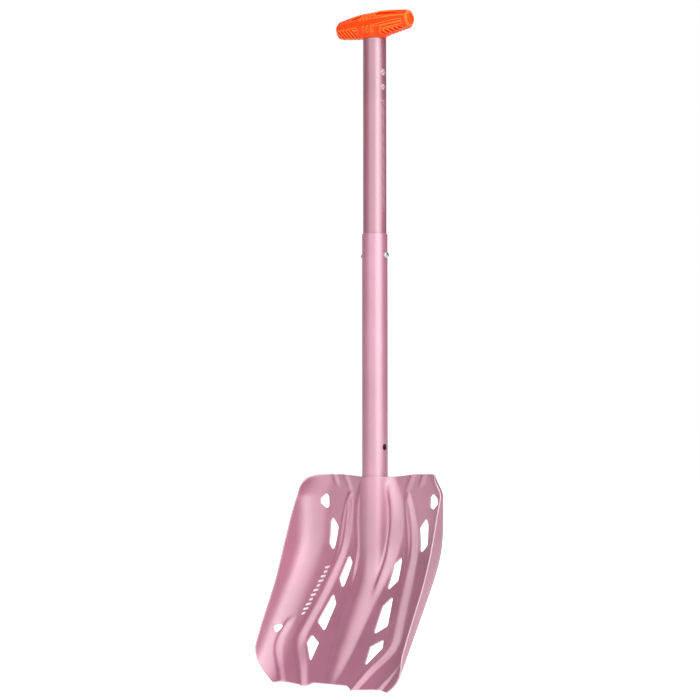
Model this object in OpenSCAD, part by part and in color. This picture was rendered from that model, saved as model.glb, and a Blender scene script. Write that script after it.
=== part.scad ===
// Avalanche shovel: a two-piece telescopic shaft, a T-grip and a stamped sheet blade.
// +Z runs up the shaft, X is the width of the blade, and -Y is the scooping side.
// The origin is on the shaft axis, level with the mouth of the blade's socket.

/* [Shaft] */
// Outer radius of the lower tube
lower_r = 15; // [14.5:0.1:15.1]
// Wall of the lower tube
lower_wall = 1.1; // [1:0.1:1.4]
// Top of the lower tube above the socket mouth
lower_top = 287; // [270:1:320]
// Bottom of the lower tube, inside the socket
lower_bottom = -84; // [-90:1:-70]
// Wall of the upper tube
upper_wall = 1.2; // [1:0.1:1.5]
// Radial gap between the two tubes
tube_gap = 0.1; // [0.05:0.01:0.1]
// Height of the grip's neck above the socket mouth
neck_z = 520; // [500:1:560]
// Height of the snap buttons above the socket mouth
button_z = 261; // [240:1:270]
// How far the upper tube slides down
travel = 226; // [180:1:226]

/* [Grip] */
// Length of the grip across the shaft
grip_length = 110; // [96:1:130]
// Height of the grip over the shaft
grip_height = 32; // [28:1:40]
// Depth of the grip from front to back
grip_depth = 29; // [26:1:34]
// Height of the grip at its ends
grip_end_height = 21; // [14:1:26]

/* [Blade] */
// Thickness of the sheet
sheet = 1.8; // [1.2:0.1:2.2]
// Position of the flat of the sheet behind the shaft axis
sheet_y = 7; // [6:0.5:8]
// Half width of the flat before the side walls turn forward
flat_half = 78; // [70:1:84]
// Radius of the turn into the side walls
wall_r = 30; // [24:1:34]
// Steepest angle of the side walls
wall_angle = 82; // [70:1:84]
// Forward slope of the lower blade
slope = 0.61; // [0.4:0.01:0.7]
// Height at which the blade bends forward
bend_z = -88; // [-100:1:-80]
// Length over which it bends
bend_soft = 12; // [8:1:18]
// Bottom edge below the socket mouth
blade_bottom = -234; // [-260:1:-225]

/* [Ribs] */
// Outer radius of the pressed socket
socket_r = 17.5; // [17.4:0.05:17.8]
// Height of the shoulders beside the socket
shoulder_h = 8; // [5:0.5:9]
// Height of the centre ridge below the socket
ridge_h = 12; // [8:0.5:13]
// Height of the long side ribs
side_rib_h = 4.4; // [2:0.1:5]
// Half width of the long side ribs
side_rib_w = 11; // [8:0.5:12]

/* [Locks] */
// Radius of a snap button
button_r = 3.7; // [3:0.1:4.5]
// Gap round a snap button
button_gap = 0.08; // [0.05:0.01:0.1]
// How far a snap button stands out of its tube
button_out = 4.2; // [3:0.1:5]
// Height of the blade's lock button
lock_z = -44; // [-50:1:-38]

/* [Hidden] */
pink = [0.80, 0.58, 0.67];
pale = [0.86, 0.66, 0.74];
orange = [0.95, 0.28, 0.08];
steel = [0.75, 0.75, 0.77];
upper_r = lower_r - lower_wall - tube_gap;
upper_bottom = 226;
pin_z = neck_z - 17.5;
eps = 0.05;
grip_mid = neck_z + grip_height / 2 - 1;

function clamp01(t) = min(1, max(0, t));
function ease(t) = let (k = clamp01(t)) k * k * (3 - 2 * k);
function hump(t) = abs(t) < 1 ? pow(cos(90 * t), 2) : 0;
function blend(a, b, k) = k * ln(exp(a / k) + exp(b / k));

// Sideways and forward position along the bent section, s being the length along the sheet
arc = wall_r * wall_angle * PI / 180;
function half_at(z) = flat_half - 10 * ease((z + 19) / 24);
function bend_at(s, z) = clamp01((abs(s) - half_at(z)) / arc) * wall_angle;
function past(s, z) = max(0, abs(s) - half_at(z) - arc);
function side_x(s, z) = sign(s) * (min(abs(s), half_at(z)) + wall_r * sin(bend_at(s, z))
  + past(s, z) * cos(wall_angle));
function side_y(s, z) = wall_r * (1 - cos(bend_at(s, z))) + past(s, z) * sin(wall_angle);

// Depth of the flat at a height, a straight drop that bends smoothly forward
function flat_y(z) = sheet_y - slope * bend_soft * ln(1 + exp((bend_z - z) / bend_soft));

// Outline of the sheet: how far it reaches at each height
rim_outline = [[-238, 84], [-231, 94], [-222, 104.5], [-210, 116], [-198, 124], [-171, 128],
  [-131, 132], [-100, 136], [-80, 136], [-52, 129], [-35, 123], [-17, 117.5], [-10, 113],
  [-4, 107], [0, 100.5], [2, 95.5], [3.2, 90]];
function rim_s(z) = lookup(z, rim_outline);
function top_z(x) = 0.4 + 2.8 * ease((abs(x) - 20) / 40);
function bottom_z(x) = blade_bottom - 4 * hump((abs(x) - 35) / 12) - 3.6 * hump((abs(x) - 86) / 16);

// Pressed shapes, each a height towards the front
function tube_front(x) = let (a = abs(x), e = 0.92 * socket_r) a < e
  ? sqrt(socket_r * socket_r - a * a)
  : sqrt(socket_r * socket_r - e * e) - (a - e) * 2.35;
function socket_shape(x, z) = max(-9, flat_y(z) + tube_front(x));

// Shoulders: a crest beside the socket that falls away sideways and fades out down the blade
crest_path = [[-242, 15], [-165, 15], [-134, 18], [-117, 20.5], [-101, 22.5], [-78, 23.5], [-65, 25],
  [-50, 26], [-32, 25], [-16, 21], [0, 16], [5, 15]];
fall_path = [[-242, 8], [-165, 8], [-130, 9], [-95, 12], [-50, 14], [-20, 13], [5, 10]];
shoulder_path = [[-242, 0], [-172, 0], [-152, 0.15], [-134, 0.52], [-115, 0.8], [-95, 0.92],
  [-50, 1], [-20, 0.94], [5, 0.8]];
function shoulder_shape(x, z) = let (c = lookup(z, crest_path), f = lookup(z, fall_path), a = abs(x))
  shoulder_h * lookup(z, shoulder_path) * ease((c + f - a) / f)
  + 1.3 * hump((a - c) / 6) * clamp01((z + 145) / 45);

// Dome: the socket's bulge runs on as a rounded ridge down to the front edge
dome_path = [[-242, 0], [-236, 0.05], [-228, 0.2], [-215, 0.38], [-195, 0.58], [-165, 0.78], [-143, 0.92],
  [-125, 1.03], [-110, 1.12], [-95, 1.17], [-80, 1], [5, 0.67]];
dome_width = [[-242, 5], [-228, 9.5], [-215, 13.5], [-195, 17.5], [-165, 21], [-143, 22.5],
  [-110, 22], [-95, 20.5], [-80, 19], [5, 18]];
function dome_shape(x, z) = ridge_h * lookup(z, dome_path)
  * pow(clamp01(1 - pow(x / lookup(z, dome_width), 2)), 1.25);

rib_path = [[-240, 36], [-215, 51], [-203, 61.5], [-196, 66], [-190, 68.4], [-184, 69], [-176, 68],
  [-150, 62.5], [-127, 58.5], [-107, 55.5], [-84, 52.4], [-56, 49], [-24, 44]];
rib_width = [[-240, 0.85], [-200, 1], [-140, 1], [-90, 0.86], [-50, 0.78], [-24, 0.5]];
function side_rib_shape(x, z) = let (w = side_rib_w * lookup(z, rib_width),
  d = abs(x) - lookup(z, rib_path), low = ease((-60 - z) / 60))
  clamp01((-16 - z) / 10) * (side_rib_h * (1 + 0.14 * low) * ease((w - abs(d)) / ((0.62 + 0.36 * low) * w))
  - 0.7 * hump(d / (0.36 * w)) * clamp01((-30 - z) / 12) * clamp01((z + 118) / 40));
outer_path = [[-240, 70], [-228, 77], [-215, 87], [-205, 93], [-196, 96], [-186, 96.5], [-166, 93]];
function outer_rib_shape(s, z) = 3 * clamp01((-164 - z) / 8)
  * hump((abs(s) - lookup(z, outer_path)) / 7);
function top_rib(x, z, start, run, len) = 2.2 * clamp01((z + len) / 5)
  * hump((abs(x) - start - run * z / len) / 5);
function press(s, z) = let (x = side_x(s, z))
  blend(blend(shoulder_shape(x, z), dome_shape(x, z), 1.2) - 0.6, socket_shape(x, z), 0.9)
  + side_rib_shape(x, z) + outer_rib_shape(s, z)
  + top_rib(x, z, 50, 9, 19) + top_rib(x, z, 67, 6, 14);

function front_point(s, z) = let (lean = cos(min(bend_at(s, z), 60)))
  [side_x(s, z), flat_y(z) - side_y(s, z) - press(s, z) * (0.4 + 0.6 * lean), z];
function unit(v) = v / norm(v);
function face_normal(s, z) = unit(cross(
  front_point(s + 0.4, z) - front_point(s - 0.4, z),
  front_point(s, z + 0.4) - front_point(s, z - 0.4)));
function back_point(s, z) = let (n = face_normal(s, z)) front_point(s, z) - n * sheet * sign(-n[1]);

// Grid of the sheet: fine over the pressed shapes and plain over the side walls
half_columns = [0, 5, 9, 12.3, 15, 17, 19, 21, 24, 28, 32.5, 37, 41.5, 46,
  50.5, 55, 59.5, 64, 70, 76];
outer_columns = 10;
edge_s = 136;
columns = concat([for (i = [len(half_columns) - 1:-1:1]) -half_columns[i]], half_columns);
rows = concat([-234, -230.5, -226], [for (z = [-220:6.9:-18]) z], [-13, -8, -4, -1, 1.4, 2.6]);
last = len(half_columns) - 1 + outer_columns;
function column_s(i, reach) = let (a = abs(i), n = len(half_columns) - 1) sign(i) * (a <= n
  ? half_columns[a] : half_columns[n] + (reach - half_columns[n]) * (a - n) / outer_columns);
function grid_z(j, x) = let (t = j / (len(rows) - 1), z = rows[j])
  z + (bottom_z(x) - rows[0]) * clamp01(1 - j / 5)
  + (top_z(x) - rows[len(rows) - 1]) * clamp01(1 - (len(rows) - 1 - j) / 6);
function grid_s(i, j) = column_s(i, rim_s(j == 0 ? -238 : rows[j]));

// A closed shell between two grids of points, n wide and m high, n counted faster
function shell_faces(n, m) = let (k = n * m) concat(
  [for (j = [0:m - 2], i = [0:n - 2]) let (a = j * n + i) [a, a + n, a + n + 1]],
  [for (j = [0:m - 2], i = [0:n - 2]) let (a = j * n + i) [a, a + n + 1, a + 1]],
  [for (j = [0:m - 2], i = [0:n - 2]) let (a = k + j * n + i) [a, a + n + 1, a + n]],
  [for (j = [0:m - 2], i = [0:n - 2]) let (a = k + j * n + i) [a, a + 1, a + n + 1]],
  [for (i = [0:n - 2]) [i, i + 1, k + i + 1, k + i]],
  [for (i = [0:n - 2]) let (a = (m - 1) * n + i) [a, k + a, k + a + 1, a + 1]],
  [for (j = [0:m - 2]) let (a = j * n) [a, k + a, k + a + n, a + n]],
  [for (j = [0:m - 2]) let (a = j * n + n - 1) [a, a + n, k + a + n, k + a]]);

module sheet_shell() {
  n = 2 * last + 1;
  m = len(rows);
  front = [for (j = [0:m - 1], i = [-last:last]) let (s = grid_s(i, j))
    front_point(s, grid_z(j, side_x(s, rows[j])))];
  back = [for (j = [0:m - 1], i = [-last:last]) let (s = grid_s(i, j))
    back_point(s, grid_z(j, side_x(s, rows[j])))];
  polyhedron(concat(front, back), shell_faces(n, m), 4);
}

// Lightening holes, each a rounded outline seen from the front
hole_outlines = [
  [[80.5, -19], [88.5, -25.5], [88.5, -31], [80.5, -37.5], [76.2, -35], [76.6, -23.5]],
  [[70.5, -47.4], [73.6, -54], [73.8, -79], [67.3, -86.3], [64.4, -84], [61.3, -59]],
  [[38.6, -93], [40.6, -95], [44.2, -119], [35.7, -128.8], [32.6, -127.4], [31.8, -100.6]],
  [[44.8, -135.8], [52.4, -168.5], [38.8, -177.4], [36.4, -176], [34.8, -147.8]],
  [[53.6, -182.8], [56.6, -192.3], [42.4, -210.4], [40, -210.4], [38.4, -191.6]]];
module hole_shape(outline) {
  offset(r = 2.2, $fn = 24) offset(delta = -2.2) polygon(outline);
}
module blade_holes() {
  for (side = [-1, 1], outline = hole_outlines)
    translate([0, 60, 0]) rotate([90, 0, 0])
      linear_extrude(200) scale([side, 1]) hole_shape(outline);
  for (side = [-1, 1])
    translate([side * 99, flat_y(-177) - 9, -177]) rotate([0, 0, side * 45])
      rotate([90, 0, 0]) translate([0, 0, -12])
        linear_extrude(24) scale([side, 1])
          offset(r = 1.5, $fn = 20) offset(delta = -1.5) polygon([[7, 4.5], [-5.5, 3.5], [-1, -9]]);
}
module blade() {
  color(pink) resize([0, 0, 0]) difference() {
    sheet_shell();
    blade_holes();
  }
}

// Pressed plate that closes the socket behind the lower tube
plate_half = 41;
plate_top = -5;
plate_bottom = -90;
plate_columns = [-41, -34, -27, -22, -19, -17, -15.5, -13.5, -11, -7.5, -3.8, 0,
  3.8, 7.5, 11, 13.5, 15.5, 17, 19, 22, 27, 34, 41];
function plate_back(x) = let (a = abs(x), e = 0.9 * socket_r) a < e
  ? sqrt(socket_r * socket_r - a * a) : sqrt(socket_r * socket_r - e * e) - (a - e) * 2.2;
function plate_seat(z) = flat_y(z) + sheet / cos(atan(slope * clamp01((bend_z + 20 - z) / 40))) + 1.75;
function plate_outer(x, z) = blend(plate_back(x), plate_seat(z), 0.7);
function plate_normal(x, z) = unit([-(plate_outer(x + 0.2, z) - plate_outer(x - 0.2, z)) / 0.4, 1,
  -(plate_outer(x, z + 0.2) - plate_outer(x, z - 0.2)) / 0.4]);
module plate_shell() {
  n = len(plate_columns);
  m = 16;
  function pz(j) = plate_bottom + (plate_top - plate_bottom) * j / (m - 1);
  outer = [for (j = [0:m - 1], x = plate_columns) [x, plate_outer(x, pz(j)), pz(j)]];
  inner = [for (j = [0:m - 1], x = plate_columns)
    [x, plate_outer(x, pz(j)), pz(j)] - 1.5 * plate_normal(x, pz(j))];
  polyhedron(concat(inner, outer), shell_faces(n, m), 4);
}
module socket_back() {
  color(pink) resize([0, 0, 0]) difference() {
    plate_shell();
    translate([0, 5, lock_z]) rotate([-90, 0, 0]) cylinder(h = 20, r = button_r + 0.6, $fn = 48);
    for (side = [-1, 1], corner = [plate_top, plate_bottom])
      translate([side * plate_half, 0, corner]) rotate([0, 45, 0]) cube([9, 60, 9], center = true);
  }
}

module tube(r, wall, z0, z1, lip) {
  rotate_extrude($fn = 96)
    polygon([[r - wall, z0], [r - lip, z0], [r, z0 + lip], [r, z1 - lip], [r - lip, z1],
      [r - wall, z1]]);
}
module across(r, z, reach) {
  translate([0, 0, z]) rotate([0, 90, 0]) cylinder(h = 2 * reach, r = r, center = true, $fn = 48);
}
module lower_tube() {
  color(pink) difference() {
    tube(lower_r, lower_wall, lower_bottom, lower_top, 0.5);
    across(button_r + button_gap, button_z, 20);
    across(button_r + button_gap, button_z - travel, 20);
    translate([0, 0, lock_z]) rotate([-90, 0, 0]) cylinder(h = 20, r = button_r + button_gap, $fn = 48);
  }
}
module upper_tube() {
  color(pale) difference() {
    tube(upper_r, upper_wall, upper_bottom, neck_z, 0.3);
    across(button_r + button_gap, button_z, 20);
    across(2.03, pin_z, 20);
  }
}

// A snap button with a domed end, standing along +Z with its foot at zero
module snap_button(length) {
  round = 2;
  rotate_extrude($fn = 64) polygon(concat([[0, 0], [button_r + 0.9, 0], [button_r + 0.9, 0.9],
    [button_r, 1.1]], [for (a = [0:15:90])
    [button_r - round + round * cos(a), length - round + round * sin(a)]], [[0, length + 0.25]]));
}
foot_r = upper_r - upper_wall - 2.1;
module button_right() {
  color(steel) translate([foot_r, 0, button_z]) rotate([0, 90, 0])
    snap_button(lower_r + button_out - foot_r);
}
module button_left() {
  color(steel) translate([-foot_r, 0, button_z]) rotate([0, -90, 0])
    snap_button(lower_r + button_out - foot_r);
}
lock_foot = lower_r - lower_wall - 2.1;
module lock_button() {
  color(steel) translate([0, lock_foot, lock_z]) rotate([-90, 0, 0])
    snap_button(socket_r + 2.9 - lock_foot);
}

// A bent strip: two legs that lean out to the given reach, joined by a round bend
function bend_line(r, reach, height) = concat([[reach, height]],
  [for (a = [0:-15:-180]) [r * cos(a), r * sin(a)]], [[-reach, height]]);
module bent_strip(reach, narrow, height, thick, wide) {
  inner = bend_line(narrow - thick, reach - thick, height);
  rotate([90, 0, 0]) translate([0, 0, -wide / 2]) linear_extrude(wide)
    polygon(concat(bend_line(narrow, reach, height),
      [for (i = [len(inner) - 1:-1:0]) inner[i]]));
}
module shaft_spring() {
  color(steel) translate([0, 0, button_z - 22]) bent_strip(foot_r - eps, 7.5, 29, 0.8, 8);
}
module lock_spring() {
  color(steel) translate([0, 0, lock_z - 22]) rotate([0, 0, 90])
    bent_strip(lock_foot - eps, 8, 29, 0.8, 8);
}

// Grip: a boat shape drawn as a row of eight-sided sections across the shaft
function grip_t(x) = clamp01((abs(x) - 13) / (grip_length / 2 - 13));
function grip_top(x) = neck_z + grip_height - 4.5 * pow(grip_t(x), 1.3);
function grip_low(x) = let (t = grip_t(x)) neck_z + 3
  + (grip_height - grip_end_height - 7.5) * pow(t, 1.1);
function grip_y(x) = grip_depth / 2 - 6 * pow(grip_t(x), 1.7);
function grip_section(x, k) = let (hi = grip_top(x), lo = grip_low(x), w = grip_y(x),
    q = (hi - lo))
  [[x, -w, lo + 0.38 * q], [x, -w, lo + 0.68 * q], [x, -0.5 * w, hi], [x, 0.5 * w, hi],
  [x, w, lo + 0.68 * q], [x, w, lo + 0.38 * q], [x, 0.55 * w, lo], [x, -0.55 * w, lo]][k];
grip_x = concat([-grip_length / 2], [for (i = [-6:6]) i * (grip_length - 8) / 12], [grip_length / 2]);
function grip_in(x, p) = abs(x) < grip_length / 2 - 1 ? p
  : [x, p[1] * 0.72, grip_mid + 3 + (p[2] - grip_mid - 3) * 0.72];
module grip_body() {
  n = len(grip_x);
  polyhedron([for (x = grip_x, k = [0:7]) grip_in(x, grip_section(x, k))], concat(
    [[for (k = [7:-1:0]) k], [for (k = [0:7]) (n - 1) * 8 + k]],
    [for (i = [0:n - 2], k = [0:7]) let (b = (k + 1) % 8)
      [i * 8 + k, i * 8 + b, (i + 1) * 8 + b, (i + 1) * 8 + k]]), 4);
}
core_r = upper_r - upper_wall - eps;
module grip_neck() {
  rotate_extrude($fn = 72) polygon([[0, neck_z], [upper_r, neck_z], [upper_r + 0.2, neck_z + 3],
    [upper_r + 1.2, neck_z + 7], [upper_r + 1.2, neck_z + 16], [0, neck_z + 16]]);
}
// Recesses pressed into the slanting faces, front and back
module grip_recesses() {
  for (face = [0, 180]) rotate([0, 0, face]) {
    for (side = [-1, 1]) {
      translate([side * 28, -grip_depth / 2 + 4.5, neck_z + grip_height - 6])
        rotate([-48, 0, 0]) cube([24, 4.4, 5.5], center = true);
      for (i = [0:4])
        translate([side * (20 + 6.4 * i), -grip_depth / 2 + 3.2, neck_z + 10.2 + 0.9 * i])
          rotate([38, side * 24, 0]) cube([2.6, 3.4, 9], center = true);
    }
    for (i = [-1.5:1.5])
      translate([4.6 * i, -grip_depth / 2 + 4.3, neck_z + grip_height - 6])
        rotate([-48, 0, 0]) cube([1.7, 4.4, 6.5], center = true);
    for (i = [-1:1])
      translate([4.6 * i, -upper_r - 0.6, neck_z + 9]) cube([1.6, 3, 8], center = true);
  }
}
cap_r = 6;
module grip_shell() {
  color(orange) difference() {
    resize([0, 0, 0]) difference() {
      union() {
        grip_body();
        grip_neck();
      }
      grip_recesses();
    }
    translate([0, 0, neck_z - 1]) cylinder(h = 20, r = core_r + eps, $fn = 72);
    for (side = [-1, 1])
      translate([side * (grip_length / 2 - 4), 0, grip_mid + 3]) rotate([0, 90, 0])
        cylinder(h = 12, r = cap_r + eps, center = true, $fn = 48);
  }
}
module grip_core() {
  color([0.25, 0.25, 0.27]) difference() {
    translate([0, 0, neck_z - 36]) cylinder(h = 36 + 18.9, r = core_r, $fn = 72);
    across(2.03, pin_z, 20);
  }
}
module grip_pin() {
  color(steel) across(2, pin_z, upper_r - 0.1);
}
module grip_cap(side) {
  translate([side * (grip_length / 2 - 9.9), 0, grip_mid + 3]) rotate([0, side * 90, 0])
    rotate_extrude($fn = 48) polygon([[0, 0], [cap_r, 0], [cap_r, 9.4], [cap_r - 0.8, 10.2],
      [3.6, 10.2], [3, 9.2], [0, 9.2]]);
}
module grip_cap_left() {
  color(orange) grip_cap(-1);
}
module grip_cap_right() {
  color(orange) grip_cap(1);
}

blade();
socket_back();
lower_tube();
lock_spring();
lock_button();
upper_tube();
shaft_spring();
button_left();
button_right();
grip_core();
grip_pin();
grip_shell();
grip_cap_left();
grip_cap_right();
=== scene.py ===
import math

import bmesh
import bpy
import numpy as np
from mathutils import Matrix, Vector
from mathutils.geometry import delaunay_2d_cdt


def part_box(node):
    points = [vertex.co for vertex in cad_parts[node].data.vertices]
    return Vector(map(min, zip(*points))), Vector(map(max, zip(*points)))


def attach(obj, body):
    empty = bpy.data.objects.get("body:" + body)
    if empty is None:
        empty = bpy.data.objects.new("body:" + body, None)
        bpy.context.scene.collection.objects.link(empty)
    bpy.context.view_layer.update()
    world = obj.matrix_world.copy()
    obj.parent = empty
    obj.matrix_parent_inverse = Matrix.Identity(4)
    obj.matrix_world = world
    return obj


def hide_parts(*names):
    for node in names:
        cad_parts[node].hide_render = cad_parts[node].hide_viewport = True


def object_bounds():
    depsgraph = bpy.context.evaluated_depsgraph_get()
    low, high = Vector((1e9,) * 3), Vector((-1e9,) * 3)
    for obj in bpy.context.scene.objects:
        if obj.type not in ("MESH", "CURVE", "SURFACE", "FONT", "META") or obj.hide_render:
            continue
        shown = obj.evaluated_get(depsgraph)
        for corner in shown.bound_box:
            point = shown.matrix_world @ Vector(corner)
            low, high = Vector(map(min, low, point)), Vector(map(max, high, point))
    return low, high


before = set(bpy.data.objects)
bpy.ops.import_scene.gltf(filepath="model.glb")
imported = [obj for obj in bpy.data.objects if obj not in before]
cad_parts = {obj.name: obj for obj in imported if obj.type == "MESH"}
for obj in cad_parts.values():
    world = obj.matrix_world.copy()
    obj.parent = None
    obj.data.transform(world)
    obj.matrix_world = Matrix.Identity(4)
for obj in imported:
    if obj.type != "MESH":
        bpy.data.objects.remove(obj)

CAD_BOX = [list(v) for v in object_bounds()]
MM = 0.001
X, Z = 0, 2


def cad_span(node, axis):
    """A CAD node's lowest and highest place along an axis in millimetres, to 0.01 mm."""
    return tuple(round(corner[axis] / MM, 2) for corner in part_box(node))


def cad_middle(node, axis):
    """The middle of a CAD node along an axis in millimetres, to 0.1 mm."""
    return round(sum(cad_span(node, axis)) / 2, 1)


# ---------------------------------------------------------------- camera

VIEW_AZIMUTH = 39.0                             # degrees to the right of the blade's front
CAMERA_DISTANCE, CAMERA_HEIGHT = 2.2506, 0.0021  # from the shaft's axis, and above the socket's mouth
AIM_SIDE, AIM_HEIGHT = -0.02934, 0.1495         # the point aimed at, to the camera's right and above
LENS, SENSOR = 98.33, 36.0


def add_camera():
    """A long lens to the right of the blade's front, level with the socket's mouth."""
    azimuth = math.radians(VIEW_AZIMUTH)
    stand = Vector((CAMERA_DISTANCE * math.sin(azimuth), -CAMERA_DISTANCE * math.cos(azimuth),
                    CAMERA_HEIGHT))
    right = Vector((math.cos(azimuth), math.sin(azimuth), 0))
    aim = right * AIM_SIDE + Vector((0, 0, AIM_HEIGHT))
    data = bpy.data.cameras.new("camera")
    data.sensor_width = SENSOR
    data.lens = LENS
    camera = bpy.data.objects.new("camera", data)
    camera.location = stand
    camera.rotation_euler = (aim - stand).to_track_quat("-Z", "Y").to_euler()
    bpy.context.scene.collection.objects.link(camera)
    bpy.context.scene.camera = camera


add_camera()


# ---------------------------------------------------------------- material building blocks

EVEN = (1, 1, 1)            # noise stretched the same along every axis
DRAWN = (1, 1, 0.03)        # noise drawn out along the shaft
NOISE_LOW, NOISE_HIGH = 0.3, 0.7        # most of a noise lies between these
CLOUD_LOW, CLOUD_HIGH = 0.35, 0.65


def new_material(name):
    """A material with one Principled shader, and its node tree."""
    material = bpy.data.materials.new(name)
    material.use_nodes = True
    tree = material.node_tree
    tree.nodes.clear()
    output = tree.nodes.new("ShaderNodeOutputMaterial")
    shader = tree.nodes.new("ShaderNodeBsdfPrincipled")
    tree.links.new(shader.outputs["BSDF"], output.inputs["Surface"])
    return material, tree, shader


def noise(tree, stretch, scale, detail):
    """Noise in the object's own metres, drawn out along an axis by a small factor there."""
    coords = tree.nodes.new("ShaderNodeTexCoord")
    mapping = tree.nodes.new("ShaderNodeMapping")
    texture = tree.nodes.new("ShaderNodeTexNoise")
    mapping.inputs["Scale"].default_value = stretch
    texture.inputs["Scale"].default_value = scale
    texture.inputs["Detail"].default_value = detail
    tree.links.new(coords.outputs["Object"], mapping.inputs["Vector"])
    tree.links.new(mapping.outputs["Vector"], texture.inputs["Vector"])
    return texture.outputs["Fac"]


def remap(tree, value, low, high, out_low, out_high):
    """A value taken from one range to another, and held at its ends."""
    node = tree.nodes.new("ShaderNodeMapRange")
    node.inputs["From Min"].default_value = low
    node.inputs["From Max"].default_value = high
    node.inputs["To Min"].default_value = out_low
    node.inputs["To Max"].default_value = out_high
    tree.links.new(value, node.inputs["Value"])
    return node.outputs["Result"]


def mix_colour(tree, factor, a, b):
    """A mix of two colours, each a plain one or another node's."""
    node = tree.nodes.new("ShaderNodeMix")
    node.data_type = "RGBA"
    tree.links.new(factor, node.inputs["Factor"])
    for socket, colour in ((node.inputs["A"], a), (node.inputs["B"], b)):
        if isinstance(colour, bpy.types.NodeSocket):
            tree.links.new(colour, socket)
        else:
            socket.default_value = (*colour, 1.0)
    return node.outputs["Result"]


def clouded(tree, scale, detail, deep, light):
    """A colour that drifts between two shades in soft clouds."""
    cloud = noise(tree, EVEN, scale, detail)
    return mix_colour(tree, remap(tree, cloud, CLOUD_LOW, CLOUD_HIGH, 0, 1), deep, light)


def vary_roughness(tree, shader, texture, low, high):
    """Roughness that follows a noise between two values."""
    tree.links.new(remap(tree, texture, NOISE_LOW, NOISE_HIGH, low, high), shader.inputs["Roughness"])


def add_bump(tree, shader, height, strength, distance):
    """Fine relief that follows a noise."""
    bump = tree.nodes.new("ShaderNodeBump")
    bump.inputs["Strength"].default_value = strength
    bump.inputs["Distance"].default_value = distance
    tree.links.new(height, bump.inputs["Height"])
    tree.links.new(bump.outputs["Normal"], shader.inputs["Normal"])


def wear_and_painted_light(tree):
    """The value that make_mesh keeps for each point: worn edges on the metal, painted highlights and
    painted shade on the grip.
    """
    node = tree.nodes.new("ShaderNodeAttribute")
    node.attribute_name = "edge"
    return node.outputs["Fac"]


def tinted(base, gain, lift=0.0):
    """A colour made brighter or darker."""
    return tuple(min(1.0, channel * gain + lift) for channel in base)


# ---------------------------------------------------------------- materials

BARE_METAL = (0.82, 0.68, 0.73)         # where the dye has worn off an edge


def anodised(name, base, grain_stretch, roughness=0.5, gloss=0.46, coat=2.7, worn_edges=False):
    """Dyed anodised aluminium: satin, with drawn grain, faint clouding and fine scuffs."""
    material, tree, shader = new_material(name)
    colour = clouded(tree, 14.0, 3.0, tinted(base, 0.86), tinted(base, 1.05, 0.015))
    scuffs = remap(tree, noise(tree, (1, 1, 0.25), 210.0, 6.0), 0.64, 0.74, 0, 0.35)
    colour = mix_colour(tree, scuffs, colour, tinted(base, 1.1, 0.05))
    if worn_edges:
        worn = remap(tree, wear_and_painted_light(tree), 0.35, 1.0, 0, 0.45)
        colour = mix_colour(tree, worn, colour, BARE_METAL)
    tree.links.new(colour, shader.inputs["Base Color"])
    grain = noise(tree, grain_stretch, 900.0, 3.0)
    vary_roughness(tree, shader, grain, roughness - 0.05, roughness + 0.06)
    shader.inputs["Metallic"].default_value = 0.2
    shader.inputs["Coat Weight"].default_value = 1.0
    shader.inputs["Coat Roughness"].default_value = gloss
    shader.inputs["Coat IOR"].default_value = coat
    add_bump(tree, shader, grain, 0.10, 0.00012)
    return material


def moulded(name, base, roughness=0.42, edges=None):
    """Moulded plastic: a fine texture, slight colour drift, and if given, painted highlights at edges and
    painted shade in recesses.
    """
    material, tree, shader = new_material(name)
    colour = clouded(tree, 45.0, 3.0, tinted(base, 0.88), base)
    if edges:
        # the painted highlight colour and the painted shade colour
        pale, dark = edges
        # painted highlight where the value is above 0.5, painted shade where it is below
        colour = mix_colour(tree, remap(tree, wear_and_painted_light(tree), 0.5, 1, 0, 0.8), colour, pale)
        colour = mix_colour(tree, remap(tree, wear_and_painted_light(tree), 0.5, 0, 0, 0.85), colour, dark)
    tree.links.new(colour, shader.inputs["Base Color"])
    texture = noise(tree, EVEN, 1500.0, 2.0)
    vary_roughness(tree, shader, texture, roughness - 0.05, roughness + 0.07)
    shader.inputs["Specular IOR Level"].default_value = 0.2
    shader.inputs["Subsurface Weight"].default_value = 0.12
    shader.inputs["Subsurface Radius"].default_value = (0.004, 0.0015, 0.0006)
    shader.inputs["Subsurface Scale"].default_value = 0.8
    add_bump(tree, shader, texture, 0.12, 0.0001)
    return material


def steel(name):
    """Bright stainless steel with fine turning marks."""
    material, tree, shader = new_material(name)
    colour = clouded(tree, 240.0, 2.0, (0.58, 0.57, 0.58), (0.78, 0.77, 0.78))
    tree.links.new(colour, shader.inputs["Base Color"])
    marks = noise(tree, EVEN, 1800.0, 4.0)
    vary_roughness(tree, shader, marks, 0.16, 0.30)
    shader.inputs["Metallic"].default_value = 1.0
    add_bump(tree, shader, marks, 0.08, 0.00008)
    return material


def printed(name, dull, bright):
    """Print on the metal, slightly uneven in its cover."""
    material, tree, shader = new_material(name)
    cover = noise(tree, EVEN, 700.0, 4.0)
    colour = mix_colour(tree, remap(tree, cover, NOISE_LOW, NOISE_HIGH, 0, 1), dull, bright)
    tree.links.new(colour, shader.inputs["Base Color"])
    vary_roughness(tree, shader, cover, 0.42, 0.55)
    return material


PINK = (0.43, 0.10, 0.20)
BLADE = anodised("blade_anodised", PINK, EVEN, worn_edges=True)
TUBE = anodised("tube_anodised", PINK, DRAWN, gloss=0.40)
TUBE_INNER = anodised("inner_tube_anodised", (0.34, 0.075, 0.14), DRAWN, roughness=0.45, gloss=0.36,
                      coat=2.4)
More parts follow.
